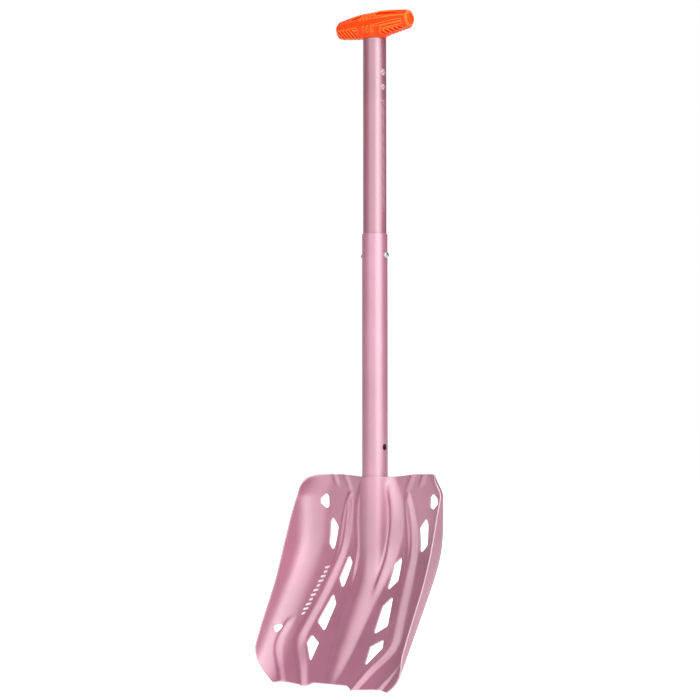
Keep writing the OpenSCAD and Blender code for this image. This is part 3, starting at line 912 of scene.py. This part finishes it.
def grip_shade(points):
    """For each point of the grip: above 0.5 for painted highlights at its recess edges, upper fold and end
    chamfers, below it for painted shade inside the recesses.
    """
    x, y, z = points.T
    top, low, side = grip_section(x)
    gap = np.minimum.reduce([gap for gap, _ in grip_recesses(x, y, z, low, top - low)])
    # painted highlight along the upper fold, only on each face's right half
    fold = np.hypot(np.abs(y) - side, z - low - FOLD_HIGH * (top - low))
    fold = fold + np.where(x * y < -FOLD_HIGHLIGHT_FROM, 0, 9)
    gap = np.where(gap > 0, np.minimum(gap, RIM_LIGHT + np.maximum(fold - 0.3, 0)), gap)
    # painted highlight just outside each recess, painted shade inside it
    pale = 0.5 + 0.5 * np.clip(1 - np.abs(gap - RIM_LIGHT) / 0.75, 0, 1)
    dark = 0.5 - 0.5 * np.clip(-gap / 0.5, 0, 1)
    # painted highlight on the end chamfers
    chamfer_highlight = hump((GRIP_HALF - np.abs(x) - END_CHAMFER / 2) / (0.7 * END_CHAMFER))
    return np.maximum(np.where(gap > 0, pale, dark), 0.5 + 0.3 * chamfer_highlight)


def grip_shell():
    """The moulded grip, meshed from its field on a grid of half a millimetre."""
    step, half_depth = 0.5, 17.1
    low = np.array([-GRIP_HALF - 1, -half_depth, NECK_Z - 1])
    high = np.array([GRIP_HALF + 1, half_depth, GRIP_TOP + 1])
    counts = np.ceil((high - low) / step).astype(int) + 1
    axes = [low[i] + step * np.arange(counts[i]) for i in range(3)]
    points, faces = surface_nets(grip_field(*np.meshgrid(*axes, indexing="ij")), low, step)
    # the painted highlights and painted shade go to the mesh as its edge values
    piece = make_mesh("grip_moulding", points, faces, grip_shade(points))
    face_outwards(piece)
    return piece


place(grip_shell(), "upper_shaft", ORANGE, "grip_shell")


# ---------------------------------------------------------------- plain printed marks, no letters

PAINT, MARK_CORNER_R = 0.04, 0.5        # how far the print stands off the metal, and its corners
UPPER_MARK_Z, UPPER_MARK_RUN = 479.0, -1.2      # the middle of the upper ring on the tube
RING_PITCH = 17.5
TICK_START, TICK_PITCH, TICK_ROWS = 34, 3.05, 44
TICK_COLUMNS = [(-2.6, 1.7), (0.4, 2.2), (3.2, 1.3)]    # each column's place and width
BAR_START, BAR_STEP, BARS = (-67.3, -106.5), (-1.12, -5.35), 11


def decal(name, outlines, point, body, material, step):
    """Thin patches of paint that follow a surface, each a rounded outline in its own two coordinates."""
    points, faces = [], []
    for outline in outlines:
        ring = ring_of(rounded(outline, MARK_CORNER_R, step), outer=True)
        low, high = ring.min(axis=0), ring.max(axis=0)
        grid = staggered(low[0], high[0], low[1], high[1], step, step)
        grid = grid[inside(grid, ring)]
        if len(grid):
            grid = grid[nearest(grid, [ring]) > 0.3 * step]
        where, triangles, _ = triangulated(np.concatenate([ring, grid]), closed_edges(0, len(ring)))
        triangles = triangles[inside(where[triangles].mean(axis=1), ring)]
        first = len(points)
        points += list(point(where[:, 0], where[:, 1]))
        faces += [tuple(first + i for i in t) for t in triangles]
    place(make_mesh(name, points, faces), body, material)


def on_blade(s, z):
    """Points just in front of the blade's face."""
    return front_point(s, z) - back_normal(s, z) * PAINT


def on_upper_tube(run, z):
    """Points just outside the tube, from the run round it (counter-clockwise from above) and the height."""
    turn, radius = run / UPPER_R, UPPER_R + PAINT
    return np.stack([radius * np.cos(turn), radius * np.sin(turn), z], axis=-1)


def blade_marks():
    """A row of slanting bars, long and short, beside the left rib."""
    bars = []
    for i in range(BARS):
        s, z = BAR_START[0] + BAR_STEP[0] * i, BAR_START[1] + BAR_STEP[1] * i
        half = 2.4 if i % 3 == 1 else 3.7
        bars.append([(s - half, z - 2.5), (s + half, z - 0.9), (s + half, z + 1.7), (s - half, z + 0.1)])
    decal("blade_marks", bars, on_blade, "blade_body", PRINT, 0.6)


def ring_bars(z, reach):
    """Six short bars that point away from a middle, a little taller than wide."""
    bars = []
    for turn in range(6):
        u, v = math.cos(turn * math.pi / 3), math.sin(turn * math.pi / 3)
        bars.append([(UPPER_MARK_RUN + u * r - v * w, z + 1.15 * (v * r + u * w))
                     for r, w in ((0.9, -0.55), (reach, -1.1), (reach, 1.1), (0.9, 0.55))])
    return bars


def tick(u, v, wide, tall):
    """A small upright rectangle about a point."""
    return [(u - wide / 2, v - tall / 2), (u + wide / 2, v - tall / 2),
            (u + wide / 2, v + tall / 2), (u - wide / 2, v + tall / 2)]


def tube_marks():
    """Two rings of short bars, and fine ticks in columns below them, some left out."""
    marks = ring_bars(UPPER_MARK_Z, 3.6) + ring_bars(UPPER_MARK_Z - RING_PITCH, 3.1)
    for row in range(TICK_ROWS):
        z = UPPER_MARK_Z - TICK_START - TICK_PITCH * row
        for column, wide in TICK_COLUMNS:
            if (row * 7 + int(column * 3)) % 5:
                marks.append(tick(UPPER_MARK_RUN + column, z, wide, 1.0))
    decal("tube_marks", marks, on_upper_tube, "upper_shaft", ETCH, 0.5)


blade_marks()
tube_marks()


# ---------------------------------------------------------------- CAD nodes that stay

DRESS = {"lower_tube": TUBE, "upper_tube": TUBE_INNER, "grip_pin": TUBE_INNER,
         "lock_spring": STEEL, "lock_button": STEEL, "shaft_spring": STEEL,
         "button_left": STEEL, "button_right": STEEL, "grip_core": BLACK,
         "grip_cap_left": CAP_ORANGE, "grip_cap_right": CAP_ORANGE}

for node, material in DRESS.items():
    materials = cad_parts[node].data.materials
    materials.clear()
    materials.append(material)


# ---------------------------------------------------------------- room and light

# azimuth from the camera in degrees, positive to its right; elevation; strength
SOFTBOXES = [(18, 8, 1.15), (42, 8, 1.35), (-35, 8, 0.80), (-65, 8, 0.10),
             (20, 48, 0.65), (65, 48, 0.45), (-25, 48, 0.65), (0, 88, 0.20),
             (165, 38, 0.32), (-145, 30, 0.24)]
SOFTBOX_SPREAD = 50
FLOOR_HALF = 60.0
FLOOR_GLOW_LIT, FLOOR_GLOW_SEEN = 0.45, 0.85    # the floor's own light, on the object and to the camera
ROOM_LIGHT = 0.1


def add_floor():
    """A plain pale floor under the blade, bright enough to be white in the picture."""
    low, half = CAD_BOX[0][Z], FLOOR_HALF
    mesh = bpy.data.meshes.new("floor")
    corners = [(-half, -half, low), (half, -half, low), (half, half, low), (-half, half, low)]
    mesh.from_pydata(corners, [], [(0, 1, 2, 3)])
    floor = bpy.data.objects.new("floor", mesh)
    bpy.context.scene.collection.objects.link(floor)
    material, tree, shader = new_material("pale_floor")
    shader.inputs["Base Color"].default_value = (0.7, 0.7, 0.7, 1)
    shader.inputs["Roughness"].default_value = 0.9
    shader.inputs["Emission Color"].default_value = (1, 1, 1, 1)
    path = tree.nodes.new("ShaderNodeLightPath")
    glow = remap(tree, path.outputs["Is Camera Ray"], 0, 1, FLOOR_GLOW_LIT, FLOOR_GLOW_SEEN)
    tree.links.new(glow, shader.inputs["Emission Strength"])
    mesh.materials.append(material)


def add_world():
    """A white background to the camera, and a faint even light on everything else."""
    world = bpy.data.worlds.new("studio")
    bpy.context.scene.world = world
    world.use_nodes = True
    tree = world.node_tree
    tree.nodes.clear()
    output = tree.nodes.new("ShaderNodeOutputWorld")
    seen = tree.nodes.new("ShaderNodeBackground")
    felt = tree.nodes.new("ShaderNodeBackground")
    path = tree.nodes.new("ShaderNodeLightPath")
    mix = tree.nodes.new("ShaderNodeMixShader")
    seen.inputs["Color"].default_value = (1, 1, 1, 1)
    seen.inputs["Strength"].default_value = 1.0
    felt.inputs["Color"].default_value = (0.97, 0.98, 1.0, 1)
    felt.inputs["Strength"].default_value = ROOM_LIGHT
    tree.links.new(path.outputs["Is Camera Ray"], mix.inputs["Fac"])
    tree.links.new(felt.outputs[0], mix.inputs[1])
    tree.links.new(seen.outputs[0], mix.inputs[2])
    tree.links.new(mix.outputs[0], output.inputs["Surface"])


def add_softbox(name, azimuth, elevation, strength):
    """A broad, soft distant light."""
    a, e = math.radians(VIEW_AZIMUTH + azimuth), math.radians(elevation)
    towards = Vector((math.sin(a) * math.cos(e), -math.cos(a) * math.cos(e), math.sin(e)))
    data = bpy.data.lights.new(name, "SUN")
    data.energy = strength
    data.angle = math.radians(SOFTBOX_SPREAD)
    light = bpy.data.objects.new(name, data)
    light.rotation_euler = towards.to_track_quat("Z", "Y").to_euler()
    bpy.context.scene.collection.objects.link(light)


add_floor()
add_world()
for number, softbox in enumerate(SOFTBOXES):
    add_softbox("softbox_%d" % number, *softbox)
bpy.context.scene.view_settings.view_transform = "Standard"
